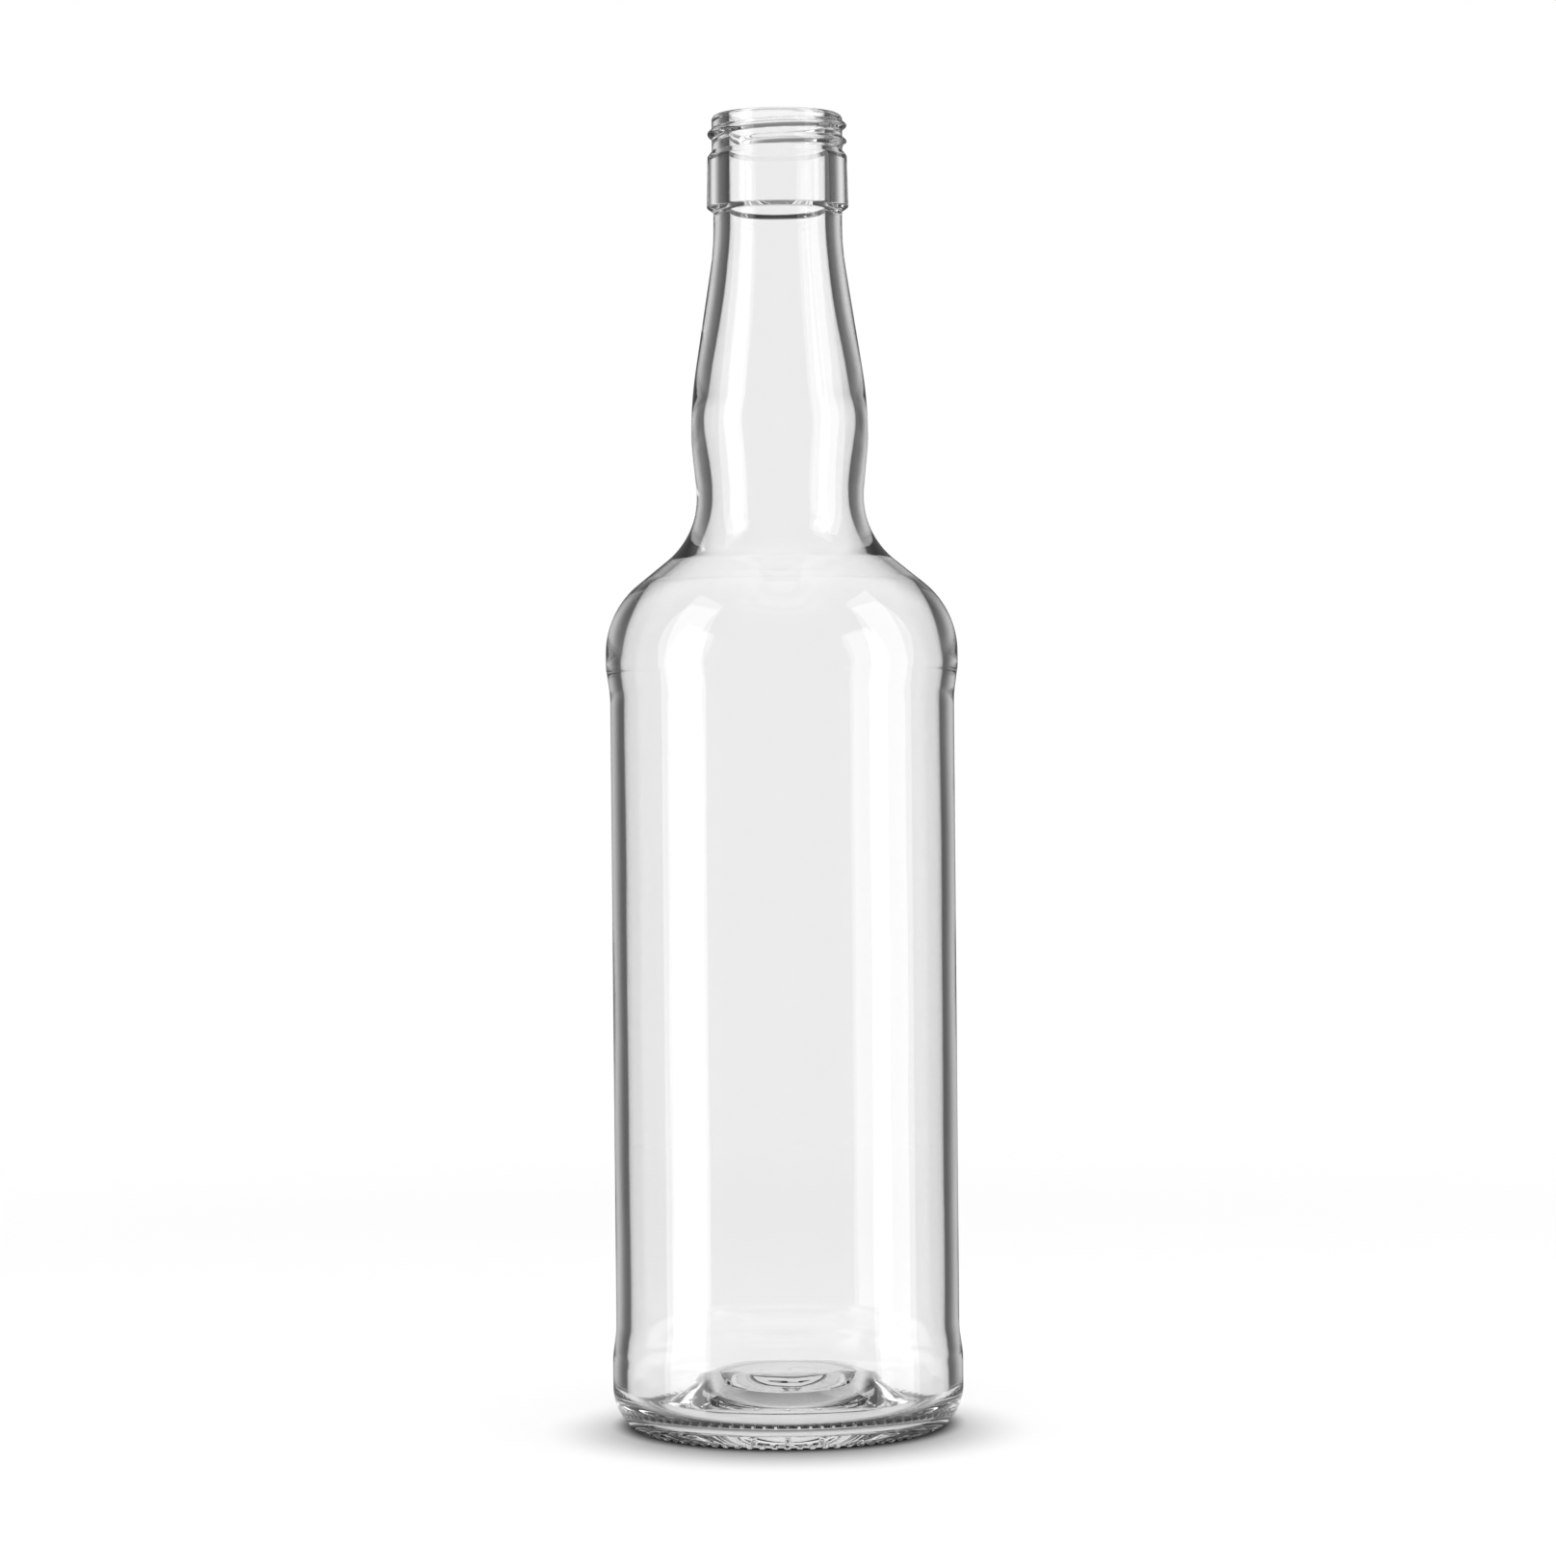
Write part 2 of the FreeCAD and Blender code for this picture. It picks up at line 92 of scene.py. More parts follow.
def corners(path, stops, bendStep=10.0):
    # straight runs between stops of (distance, height, rounding, longest step on the way there)
    for i, (radius, height, rounding, step) in enumerate(stops):
        length = math.hypot(radius - path[-1][0], height - path[-1][1])
        if not rounding:
            run(path, length, step)
            continue
        ahead = math.degrees(math.atan2(stops[i + 1][1] - height, stops[i + 1][0] - radius))
        turned = (ahead - path[-1][2] + 180) % 360 - 180
        run(path, length - rounding * math.tan(math.radians(abs(turned)) / 2), step)
        bend(path, rounding, turned, bendStep)


outside = {
    "landRadius": 14.25, "landLength": 7.9, "rimRounding": 1.2, "landRoot": 0.3,
    "collarTopRadius": 15.2, "collarRadius": 15.45, "collarLength": 12.3, "collarBevel": 1.2,
    "collarUndercut": 0.95, "collarEdge": 0.5, "neckRoot": 0.6,
    "neckRadius": 14.05, "neckLength": 3.35, "flareSlope": 8.9, "flareRoundings": (56.0, 91.0),
    "bulgeRadius": 19.3, "taperSlope": 5.8, "taperRoundings": (41.0, 21.0), "waistRadius": 18.23,
    "shoulderSlope": 51.2, "shoulderRoundings": (17.8, 19.5), "shoulderRadius": 38.45,
    "beadLength": 2.0, "stepSlope": 8.0, "stepRoundings": (13.4, 23.4), "panelRadius": 37.57,
    "baseRadius": 38.35, "baseBeadTop": 14.4, "heelHeight": 8.4,
    "ringRadius": 34.2, "ringWidth": 2.6, "ringEdge": 0.8,
    "pushUpHeight": 7.4, "discRadius": 13.6, "discStep": 0.4, "discEdge": 0.12, "panelStep": 0.6,
}

inside = {
    "boreRadius": 10.45, "boreLength": 21.36, "mouthRounding": 0.8,
    "flareSlope": 11.6, "flareRoundings": (128.0, 25.0), "bulgeRadius": 16.6,
    "taperSlope": 8.46, "taperRoundings": (30.0, 46.0), "waistRadius": 15.03,
    "shoulderSlope": 49.9, "shoulderRoundings": (18.5, 22.5), "shoulderRadius": 35.4,
    "beadLength": 0.5, "stepSlope": 8.0, "stepRoundings": (16.0, 20.0),
    "panelRadius": 34.52, "baseRadius": 35.3, "cornerRounding": 5.5,
    "troughHeight": 3.8, "troughWidth": 0.5, "crownHeight": 12.3,
    "kickSlope": 34.0, "kickRoundings": (4.0, 12.0), "panelStep": 2.0,
}


def labelPanel(path, wall):
    # from the shoulder bead in to the recessed panel, down it and out to the base bead
    run(path, wall["beadLength"])
    inward = wall["panelRadius"] - path[-1][0]
    swerve(path, inward, wall["stepSlope"], wall["stepRoundings"], wall["panelStep"])
    turned = math.radians(wall["stepSlope"])
    stepLength = (wall["baseRadius"] - wall["panelRadius"]) / math.tan(turned)
    stepLength += sum(wall["stepRoundings"]) * math.tan(turned / 2)
    run(path, path[-1][1] - outside["baseBeadTop"] - stepLength, 9.0)
    swerve(path, wall["baseRadius"] - wall["panelRadius"], wall["stepSlope"], wall["stepRoundings"][::-1])


def traceOutside():
    o = outside
    collarTop = bottleHeight - o["landLength"]
    collarFoot = collarTop - o["collarLength"]
    neckRoot = collarFoot - o["collarUndercut"]
    path = [((o["landRadius"] + inside["boreRadius"]) / 2, bottleHeight, 0.0)]
    corners(path, [
        (o["landRadius"], bottleHeight, o["rimRounding"], 0.4),
        (o["landRadius"], collarTop, o["landRoot"], 0.14),
        (o["collarTopRadius"], collarTop - o["collarBevel"], o["collarEdge"], 0.14),
        (o["collarRadius"], collarFoot, o["collarEdge"], 3.0),
        (o["neckRadius"], neckRoot, o["neckRoot"], 0.6),
        (o["neckRadius"], neckRoot - o["neckLength"], 0, 2.0),
    ])
    swerve(path, o["bulgeRadius"] - o["neckRadius"], o["flareSlope"], o["flareRoundings"])
    swerve(path, o["waistRadius"] - o["bulgeRadius"], o["taperSlope"], o["taperRoundings"])
    swerve(path, o["shoulderRadius"] - o["waistRadius"], o["shoulderSlope"], o["shoulderRoundings"])
    labelPanel(path, o)
    run(path, path[-1][1] - o["heelHeight"])

    inset = o["baseRadius"] - o["ringRadius"]
    heelRounding = (inset ** 2 + o["heelHeight"] ** 2) / (2 * inset)  # meets the table at the ring
    drop = (o["heelHeight"] - o["ringEdge"]) / (heelRounding - o["ringEdge"])
    turned = math.degrees(math.asin(drop))
    bend(path, heelRounding, -turned, 1.5)
    bend(path, o["ringEdge"], turned - 90, 8.0)
    discFoot = o["pushUpHeight"] - o["discStep"]
    corners(path, [
        (o["ringRadius"] - o["ringWidth"], 0, o["ringEdge"], 0.3),
        (o["discRadius"], discFoot, o["discEdge"], 0.45),
        (o["discRadius"], o["pushUpHeight"], o["discEdge"], 0.2),
        (0, o["pushUpHeight"], 0, 2.5),
    ])
    return path


def traceInside():
    c = inside
    path = [((outside["landRadius"] + c["boreRadius"]) / 2, bottleHeight, 180.0)]
    corners(path, [
        (c["boreRadius"], bottleHeight, c["mouthRounding"], 0.4),
        (c["boreRadius"], bottleHeight - c["boreLength"], 0, 1.6),
    ])
    swerve(path, c["bulgeRadius"] - c["boreRadius"], c["flareSlope"], c["flareRoundings"], 1.5)
    swerve(path, c["waistRadius"] - c["bulgeRadius"], c["taperSlope"], c["taperRoundings"], 1.5)
    swerve(path, c["shoulderRadius"] - c["waistRadius"], c["shoulderSlope"], c["shoulderRoundings"])
    labelPanel(path, c)
    run(path, path[-1][1] - c["troughHeight"] - c["cornerRounding"], 1.5)
    bend(path, c["cornerRounding"], -90, 3.0)
    run(path, c["troughWidth"])
    swerve(path, c["troughHeight"] - c["crownHeight"], c["kickSlope"], c["kickRoundings"], 2.5)
    run(path, path[-1][0], 1.5)
    return path


thread = {
    "pitch": 3.45, "turns": 1.62, "height": 0.94, "width": 2.2, "sharpness": 1.5,
    "startAngle": -126.0, "startHeight": 278.88, "fadeIn": 35.0, "fadeOut": 60.0,  # angles in degrees
}

knurl = {"bars": 80, "depth": 0.35, "inner": 32.6, "outer": 35.3, "fade": 0.3, "valley": (0.25, 0.85)}
dots = {"count": 20, "ring": 20.4, "radius": 0.65, "height": 0.3, "sharpness": 1.2}
seam = {"height": 165.2, "lift": 0.05, "width": 0.7, "sharpness": 2}

waviness = {
    "body": 0.05, "neck": 0.1, "neckHeights": (160, 200), "outer": 0.01,
    "innerEnds": ((264, 250), (8, 24)), "outerEnds": ((262, 250), (9, 24)),  # heights where it fades
    "outerStretch": 1.3, "outerShift": 40,
}

mesh = {
    "segments": 128, "fineSegments": 640, "fineBelow": 8.0, "fineBands": ((19.4, 21.4), (32.2, 35.7)),
    "slopeReach": 0.02,
}


def smooth(low, high, value):
    t = np.clip((value - low) / (high - low), 0, 1)
    return t * t * (3 - 2 * t)


def threadLift(height, angles):
    # a rounded bead that winds up to the right round the wall under the closure
    t = thread
    lift = np.zeros_like(angles)
    for lap in range(-1, 4):
        along = np.degrees(angles) + 360 * lap - t["startAngle"]
        left = 360 * t["turns"] - along
        offset = (height - t["startHeight"] - t["pitch"] * along / 360) / (t["width"] / 2)
        bead = np.clip(1 - offset ** 2, 0, 1) ** t["sharpness"] * (along > 0) * (left > 0)
        ends = smooth(0, t["fadeIn"], along) * smooth(0, t["fadeOut"], left)
        lift = np.maximum(lift, t["height"] * bead * ends)
    return lift


def knurlDrop(radius, angles):
    # valleys between the short bars on the ring that the bottle stands on
    k = knurl
    innerFade = smooth(k["inner"] - k["fade"], k["inner"], radius)
    outerFade = smooth(-k["outer"], k["fade"] - k["outer"], -radius)
    zone = innerFade * outerFade
    between = 0.5 - 0.5 * np.cos(angles * k["bars"])
    return k["depth"] * zone * smooth(*k["valley"], between)


def dotLift(radius, angles):
    # a ring of small round beads under the base
    spacing = 2 * math.pi / dots["count"]
    aside = (angles + spacing / 2) % spacing - spacing / 2
    distance = np.hypot(radius - dots["ring"], aside * radius) / dots["radius"]
    return dots["height"] * np.clip(1 - distance ** 2, 0, 1) ** dots["sharpness"]


def seamLift(height):
    # the fine line that the mould leaves just below the shoulder bead
    offset = (height - seam["height"]) / (seam["width"] / 2)
    return seam["lift"] * np.clip(1 - offset ** 2, 0, 1) ** seam["sharpness"]


def waves(height, angles):
    # slow unevenness of blown glass, between -1 and 1
    slow = np.sin(2 * angles + height * 0.045) + 0.6 * np.sin(3 * angles - height * 0.08 + 1.3)
    quick = 0.35 * np.sin(5 * angles + height * 0.13 + 0.4)
    quick += 0.25 * np.sin(height * 0.31 + 2 * np.sin(angles))
    return (slow + quick) / 2.2


def fading(ends, height):
    # 1 along the wall, 0 beyond its upper and lower ends
    upper, lower = ends
    return smooth(*upper, height) * smooth(*lower, height)


def relief(isInside, radius, height, angles):
    # how far the glass stands out of the plain turned shape
    w = waviness
    if isInside:
        size = w["body"] + (w["neck"] - w["body"]) * smooth(*w["neckHeights"], height)
        return fading(w["innerEnds"], height) * size * waves(height, angles)
    if height > bottleHeight - outside["landLength"] - outside["collarBevel"]:
        return threadLift(height, angles)
    if height < outside["heelHeight"]:
        return dotLift(radius, angles) - knurlDrop(radius, angles)
    outerWaves = waves(height * w["outerStretch"] + w["outerShift"], angles) - 1
    return seamLift(height) + fading(w["outerEnds"], height) * w["outer"] * outerWaves


def buildRow(isInside, radius, height, heading, count):
    # points of one ring and their normals; the slope of the relief tilts the normals
    angles = np.arange(count) * 2 * math.pi / count
    face = math.radians(heading + (-90 if isInside else 90))
    faceOut, faceUp = math.cos(face), math.sin(face)
    alongOut, alongUp = -faceUp, faceOut
    lift = relief(isInside, radius, height, angles)
    reach = mesh["slopeReach"]
    ahead = relief(isInside, radius + alongOut * reach, height + alongUp * reach, angles)
    behind = relief(isInside, radius - alongOut * reach, height - alongUp * reach, angles)
    tiltAlong = (ahead - behind) / (2 * reach)
    turnedBy = reach / radius
    left = relief(isInside, radius, height, angles + turnedBy)
    right = relief(isInside, radius, height, angles - turnedBy)
    tiltRound = (left - right) / (2 * reach)
    outward = np.stack([np.cos(angles), np.sin(angles), np.zeros(count)], 1)
    sideways = np.stack([-np.sin(angles), np.cos(angles), np.zeros(count)], 1)
    up = np.array([0, 0, 1.0])
    normal = outward * faceOut + up * faceUp
    along = outward * alongOut + up * alongUp
    points = outward * radius + up * height + normal * lift[:, None]
    normal = normal - along * tiltAlong[:, None] - sideways * tiltRound[:, None]
    return points, normal / np.linalg.norm(normal, axis=1)[:, None]


def joinRows(faces, first, firstCount, last, lastCount):
    # faces between a row and the next one, which may have several points for each of its own
    if firstCount == lastCount:
        for i in range(firstCount):
            j = (i + 1) % firstCount
            faces.append((first + i, last + i, last + j, first + j))
        return
    coarse, fine = min(firstCount, lastCount), max(firstCount, lastCount)
    share = fine // coarse
    for i in range(coarse):
        j = (i + 1) % coarse
        if firstCount == coarse:
            edge = [last + (i * share + k) % fine for k in range(share + 1)]
            faces.append((first + i, *edge, first + j))
        else:
            edge = [first + (i * share + k) % fine for k in range(share, -1, -1)]
            faces.append((last + i, last + j, *edge))


def buildGlass():
    rows = [(True, *point) for point in reversed(traceInside())]
    rows += [(False, *point) for point in traceOutside()[1:]]
    points, normals, faces = [(0, 0, rows[0][2])], [(0, 0, 1)], []
    previous, previousCount = 0, 1
    for isInside, radius, height, heading in rows[1:-1]:
        inBand = any(inner < radius < outer for inner, outer in mesh["fineBands"])
        fine = inBand and not isInside and height < mesh["fineBelow"]
        count = mesh["fineSegments"] if fine else mesh["segments"]
        start = len(points)
        ring, ringNormals = buildRow(isInside, radius, height, heading, count)
        points.extend(ring.tolist())
        normals.extend(ringNormals.tolist())
        if previousCount == 1:
            faces += [(previous, start + i, start + (i + 1) % count) for i in range(count)]
        else:
            joinRows(faces, previous, previousCount, start, count)
        previous, previousCount = start, count
    points.append((0, 0, rows[-1][2]))
    normals.append((0, 0, -1))
    pole = len(points) - 1
    faces += [(previous + (i + 1) % previousCount, previous + i, pole) for i in range(previousCount)]

    data = bpy.data.meshes.new("bottleGlass")
    data.from_pydata([(x * mm, y * mm, z * mm) for x, y, z in points], [], faces)
    data.polygons.foreach_set("use_smooth", [True] * len(faces))
    data.validate()
    data.normals_split_custom_set_from_vertices(normals)
    data.update()
    triangles = sum(len(face) - 2 for face in faces)
    print("glass built:", len(points), "points,", triangles, "triangles")
    bottle = bpy.data.objects.new("bottleGlass", data)
    scene.collection.objects.link(bottle)
    return bottle


def nodeOf(tree, kind, place, **settings):
    node = tree.nodes.new(kind)
    node.location = place
    for name, value in settings.items():
        setattr(node, name, value)
    return node


clearGlass = {
    "tint": (0.985, 0.987, 0.985, 1.0), "indexOfRefraction": 1.52,
    "seedScale": 150.0, "seedDetail": 1.0, "seedHeight": 0.000004,
}


def makeClearGlass():
    # it lets shadow rays through, and a very faint bump keeps its reflections from being too even
    g = clearGlass
    material = bpy.data.materials.new("clearGlass")
    material.use_nodes = True
    tree = material.node_tree
    tree.nodes.clear()
    output = nodeOf(tree, "ShaderNodeOutputMaterial", (900, 0))
    stand = nodeOf(tree, "ShaderNodeMixShader", (680, 0))
    glass = nodeOf(tree, "ShaderNodeBsdfPrincipled", (300, 0))
    passing = nodeOf(tree, "ShaderNodeBsdfTransparent", (300, 160))
    path = nodeOf(tree, "ShaderNodeLightPath", (300, 520))
    where = nodeOf(tree, "ShaderNodeTexCoord", (-700, 0))
    seeds = nodeOf(tree, "ShaderNodeTexNoise", (-450, -160))
    bump = nodeOf(tree, "ShaderNodeBump", (20, -160))
    glass.inputs["Base Color"].default_value = g["tint"]
    glass.inputs["Roughness"].default_value = 0.0
    glass.inputs["Transmission Weight"].default_value = 1.0
    glass.inputs["IOR"].default_value = g["indexOfRefraction"]
    seeds.inputs["Scale"].default_value = g["seedScale"]
    seeds.inputs["Detail"].default_value = g["seedDetail"]
    bump.inputs["Distance"].default_value = g["seedHeight"]
    tree.links.new(where.outputs["Object"], seeds.inputs["Vector"])
    tree.links.new(seeds.outputs["Fac"], bump.inputs["Height"])
    tree.links.new(bump.outputs["Normal"], glass.inputs["Normal"])
    tree.links.new(path.outputs["Is Shadow Ray"], stand.inputs["Fac"])
    tree.links.new(glass.outputs["BSDF"], stand.inputs[1])
    tree.links.new(passing.outputs["BSDF"], stand.inputs[2])
    tree.links.new(stand.outputs["Shader"], output.inputs["Surface"])
    return material


bottle = buildGlass()
bottle.data.materials.append(makeClearGlass())
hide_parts("bottle")
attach(bottle, "root")
print("clear glass set")


def calculate(tree, place, operation, *terms):
    node = nodeOf(tree, "ShaderNodeMath", place, operation=operation)
    for i, term in enumerate(terms):
        if isinstance(term, float):
            node.inputs[i].default_value = term
        else:
            tree.links.new(term, node.inputs[i])
    return node.outputs[0]


def ramp(tree, place, value, start, end, low, high, kind="SMOOTHSTEP"):
    node = nodeOf(tree, "ShaderNodeMapRange", place, interpolation_type=kind)
    tree.links.new(value, node.inputs["Value"])
    for name, number in (("From Min", start), ("From Max", end), ("To Min", low), ("To Max", high)):
        node.inputs[name].default_value = number
    return node.outputs["Result"]


def choose(tree, place, switch, low, high):
    mix = nodeOf(tree, "ShaderNodeMix", place)
    for name, level in (("A", low), ("B", high)):
        if isinstance(level, float):
            mix.inputs[name].default_value = level
        else:
            tree.links.new(level, mix.inputs[name])
    tree.links.new(switch, mix.inputs["Factor"])
    return mix.outputs["Result"]


# levels of light, and where each starts and ends along a part of a direction of length 1
room = {
    "backdrop": 1.0, "ceiling": 0.25, "ceilingReach": (0.15, 0.6), "ambient": 0.8,
    "ahead": 0.9, "aside": 0.05, "asideReach": (0.0, 0.6), "rise": 0.4, "facingReach": (-0.6, 0.0),
    "mirroredNear": 0.2, "mirroredFar": 1.0, "mirroredReach": (-0.3, 0.4),
    "flag": 0.2, "flagReach": (0.5, 0.8),
}


def makeWorld():
    # white to look at and through, dimmer as a light and in reflections
    world = bpy.data.worlds.new("studio")
    scene.world = world
    world.use_nodes = True
    tree = world.node_tree
    tree.nodes.clear()
    output = nodeOf(tree, "ShaderNodeOutputWorld", (900, 0))
    background = nodeOf(tree, "ShaderNodeBackground", (700, 0))
    background.inputs["Color"].default_value = (1, 1, 1, 1)
    path = nodeOf(tree, "ShaderNodeLightPath", (-900, 0))

    # how far a direction lies to the side and, counted less, how far it rises
    where = nodeOf(tree, "ShaderNodeTexCoord", (-1700, -500))
    parts = nodeOf(tree, "ShaderNodeSeparateXYZ", (-1500, -500))
    tree.links.new(where.outputs["Generated"], parts.inputs["Vector"])
    upper = nodeOf(tree, "ShaderNodeVectorMath", (-1500, -300), operation="MAXIMUM")
    upper.inputs[1].default_value = (-1, -1, 0)
    level = nodeOf(tree, "ShaderNodeVectorMath", (-1350, -300), operation="MULTIPLY")
    level.inputs[1].default_value = (1, 0, room["rise"])
    length = nodeOf(tree, "ShaderNodeVectorMath", (-1200, -300), operation="LENGTH")
    tree.links.new(where.outputs["Generated"], upper.inputs[0])
    tree.links.new(upper.outputs["Vector"], level.inputs[0])
    tree.links.new(level.outputs["Vector"], length.inputs[0])
    aside = length.outputs["Value"]

    # seen after a reflection inside the wall: bright ahead, dark to the sides and towards the lens
    ahead = ramp(tree, (-1100, -400), aside, *room["asideReach"], room["ahead"], room["aside"])
    facing = ramp(tree, (-1100, -700), parts.outputs["Y"], *room["facingReach"], 0.0, 1.0)
    ahead = choose(tree, (-700, -600), facing, room["aside"], ahead)

    # seen mirrored in a surface: dark towards the lens, and at a flag straight behind the bottle
    mirrored = ramp(tree, (-1100, -1000), parts.outputs["Y"], *room["mirroredReach"],
                    room["mirroredNear"], room["mirroredFar"])
    flag = ramp(tree, (-1100, -1150), parts.outputs["Y"], *room["flagReach"], 1.0, room["flag"])
    mirrored = calculate(tree, (-900, -1100), "MULTIPLY", mirrored, flag)

    # seen through the glass: white, and darker high up
    backdrop = ramp(tree, (-1100, -1300), parts.outputs["Z"], *room["ceilingReach"],
                    room["backdrop"], room["ceiling"])

    throughGlass = path.outputs["Is Transmission Ray"]
    inWall = calculate(tree, (-650, -200), "GREATER_THAN", path.outputs["Glossy Depth"], 0.5)
    lit = calculate(tree, (-650, -400), "GREATER_THAN", path.outputs["Diffuse Depth"], 0.5)
    behind = choose(tree, (-450, -200), inWall, backdrop, ahead)
    seen = choose(tree, (-200, 0), throughGlass, mirrored, behind)
    seen = choose(tree, (50, 0), path.outputs["Is Camera Ray"], seen, room["backdrop"])
    strength = choose(tree, (300, 0), lit, seen, room["ambient"])
    tree.links.new(strength, background.inputs["Strength"])
    tree.links.new(background.outputs["Background"], output.inputs["Surface"])


# in metres, but for the levels of light
ground = {
    "halfWidth": 4.0, "colour": 0.84, "glow": 0.1, "roughness": 0.9, "poolReach": (0.25, 0.6),
    # a painted shadow round the bottle, darkest at the ring, lifted under the hollow and, seen through
    # the glass, beyond the ring
    "paintedShadowAhead": 0.008, "paintedShadowReach": (0.016, 0.055), "paintedShadowLevel": 0.06,
    "ringShadowReach": (0.033, 0.0395), "ringShadowLevel": 0.02,
    "hollowReach": (0.028, 0.033), "hollowLevel": 1.0,
    "throughReach": (0.038, 0.042), "throughLevel": 0.02,
    "mirrorReach": (0.045, 0.07),
}


def makeFloor():
    # a pale matt floor with a painted shadow near the bottle, which turns into the white of the backdrop
    # further off
    f = ground
    half = f["halfWidth"]
    data = bpy.data.meshes.new("floor")
    points = [(-half, -half, 0), (half, -half, 0), (half, half, 0), (-half, half, 0)]
    data.from_pydata(points, [], [(0, 1, 2, 3)])
    floor = bpy.data.objects.new("floor", data)
    scene.collection.objects.link(floor)
    material = bpy.data.materials.new("paleFloor")
    material.use_nodes = True
    tree = material.node_tree
    output = tree.nodes["Material Output"]
    surface = tree.nodes["Principled BSDF"]
    surface.inputs["Roughness"].default_value = f["roughness"]
    surface.inputs["Specular IOR Level"].default_value = 0.0
    surface.inputs["Emission Strength"].default_value = f["glow"]
    where = nodeOf(tree, "ShaderNodeTexCoord", (-1300, 200))
    length = nodeOf(tree, "ShaderNodeVectorMath", (-1100, 200), operation="LENGTH")
    tree.links.new(where.outputs["Object"], length.inputs[0])
    distance = length.outputs["Value"]

    # painted shadow: soft and dark where the bottle keeps the light off, centred a little to the front
    shift = nodeOf(tree, "ShaderNodeVectorMath", (-1100, 400), operation="ADD")
    shift.inputs[1].default_value = (0, f["paintedShadowAhead"], 0)
    paintedShadowLength = nodeOf(tree, "ShaderNodeVectorMath", (-900, 400), operation="LENGTH")
    tree.links.new(where.outputs["Object"], shift.inputs[0])
    tree.links.new(shift.outputs["Vector"], paintedShadowLength.inputs[0])
    paintedShadowDistance = paintedShadowLength.outputs["Value"]
    shade = ramp(tree, (-700, 400), paintedShadowDistance, *f["paintedShadowReach"], f["paintedShadowLevel"], 1.0)

    # the painted shadow is darkest at the ring that the bottle stands on and is lifted again under the
    # hollow of the base
    ring = ramp(tree, (-700, 250), distance, *f["ringShadowReach"], f["ringShadowLevel"], 1.0)
    shade = calculate(tree, (-550, 350), "MULTIPLY", shade, ring)
    under = ramp(tree, (-700, 100), distance, *f["hollowReach"], f["hollowLevel"], 0.0)
    shade = calculate(tree, (-450, 300), "MAXIMUM", shade, under)

    # seen through the glass, the floor beyond the ring drops its painted shadow
    path = nodeOf(tree, "ShaderNodeLightPath", (-900, 700))
    through = calculate(tree, (-700, 600), "GREATER_THAN", path.outputs["Transmission Depth"], 0.5)
    beyond = ramp(tree, (-700, 750), paintedShadowDistance, *f["throughReach"], f["throughLevel"], 1.0)
    bright = calculate(tree, (-400, 450), "MAXIMUM", shade, beyond)
    shade = choose(tree, (-280, 400), through, shade, bright)
    # the painted shadow darkens both the floor's colour and its glow
    shade = calculate(tree, (-150, 300), "MULTIPLY", f["colour"], shade)
    tree.links.new(shade, surface.inputs["Base Color"])
    tree.links.new(shade, surface.inputs["Emission Color"])

    white = nodeOf(tree, "ShaderNodeEmission", (20, -300))
    white.inputs["Color"].default_value = (1, 1, 1, 1)
    white.inputs["Strength"].default_value = room["backdrop"]
    pool = ramp(tree, (-200, 100), distance, *f["poolReach"], 0.0, 1.0)
    fade = nodeOf(tree, "ShaderNodeMixShader", (300, 0))
    tree.links.new(pool, fade.inputs["Fac"])
    tree.links.new(surface.outputs["BSDF"], fade.inputs[1])
    tree.links.new(white.outputs["Emission"], fade.inputs[2])

    # away from the bottle, mirrored rays pass the floor and find the room instead
    unlit = calculate(tree, (-150, 700), "LESS_THAN", path.outputs["Diffuse Depth"], 0.5)
    away = ramp(tree, (-150, 900), distance, *f["mirrorReach"], 0.0, 1.0)
    mirrored = calculate(tree, (50, 800), "MINIMUM", path.outputs["Glossy Depth"], unlit)
    mirrored = calculate(tree, (200, 800), "MULTIPLY", mirrored, away)
    passing = nodeOf(tree, "ShaderNodeBsdfTransparent", (300, -200))
    shown = nodeOf(tree, "ShaderNodeMixShader", (520, 0))
    tree.links.new(mirrored, shown.inputs["Fac"])
    tree.links.new(fade.outputs["Shader"], shown.inputs[1])
    tree.links.new(passing.outputs["BSDF"], shown.inputs[2])
    tree.links.new(shown.outputs["Shader"], output.inputs["Surface"])
    data.materials.append(material)


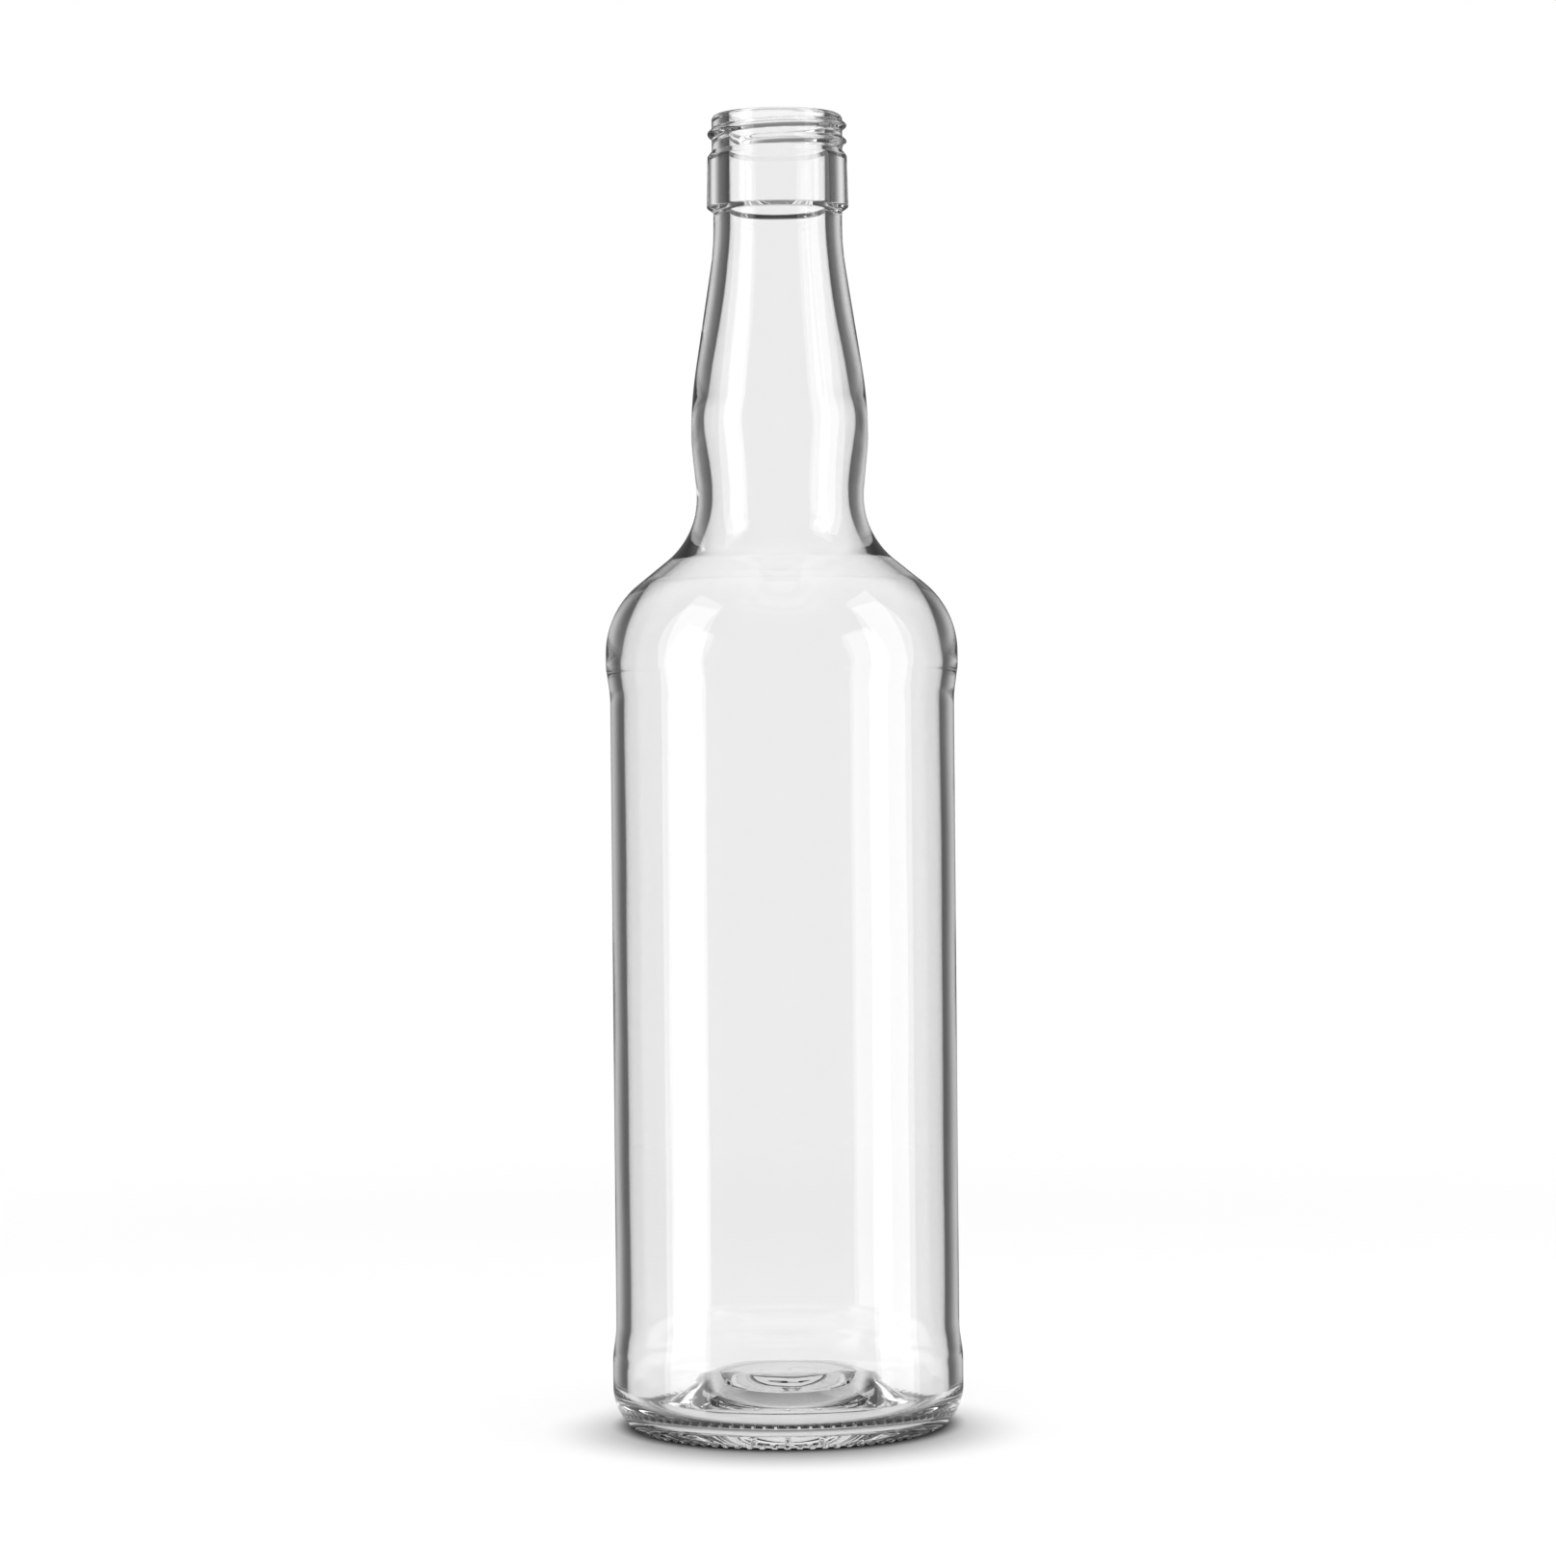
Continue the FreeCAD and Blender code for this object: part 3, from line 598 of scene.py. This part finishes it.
softboxes = {
    "leftSoftbox": {
        "watts": 3.6, "place": (-0.75, -0.278, 0.325), "turned": (90, 0, -69.7), "size": (0.45, 1.55),
        "mirrored": True,
    },
    "rightSoftbox": {
        "watts": 3.6, "place": (0.783, -0.162, 0.325), "turned": (90, 0, 78.3), "size": (0.45, 1.55),
        "mirrored": True,
    },
    "topSoftbox": {
        "watts": 3.0, "place": (0, 0, 1.3), "turned": (0, 0, 0), "size": (0.9, 0.9), "mirrored": False,
    },
}


def makeSoftbox(name, watts, place, turned, size, mirrored):
    lamp = bpy.data.lights.new(name, "AREA")
    lamp.shape = "RECTANGLE"
    lamp.size, lamp.size_y = size
    lamp.energy = watts
    box = bpy.data.objects.new(name, lamp)
    scene.collection.objects.link(box)
    box.location = place
    box.rotation_euler = [math.radians(a) for a in turned]
    box.visible_camera = False
    box.visible_glossy = mirrored
    box.visible_transmission = mirrored


scene.cycles.max_bounces = 32  # light runs far inside the thick glass of the base
scene.cycles.glossy_bounces = 16
scene.cycles.transmission_bounces = 24
makeWorld()
makeFloor()
for boxName, box in softboxes.items():
    makeSoftbox(boxName, **box)
print("studio set")


view = {
    "aside": 0.00911, "distance": 0.94749, "height": 0.15855, "lens": 99.51,
    "sensorWidth": 36.0, "nearClip": 0.01,
    "tiltDown": 1.1133, "turned": 0.6154, "rolled": -0.5294,  # degrees
}


def makeCamera():
    data = bpy.data.cameras.new("camera")
    data.lens = view["lens"]
    data.sensor_width = view["sensorWidth"]
    data.clip_start = view["nearClip"]
    camera = bpy.data.objects.new("camera", data)
    scene.collection.objects.link(camera)
    scene.camera = camera
    place = Matrix.Translation((view["aside"], -view["distance"], view["height"]))
    turn = Matrix.Rotation(math.radians(view["turned"]), 4, "Z")
    tilt = Matrix.Rotation(math.radians(90 - view["tiltDown"]), 4, "X")
    roll = Matrix.Rotation(math.radians(view["rolled"]), 4, "Z")
    camera.matrix_world = place @ turn @ tilt @ roll


makeCamera()
scene.view_settings.view_transform = "Standard"
print("camera set")
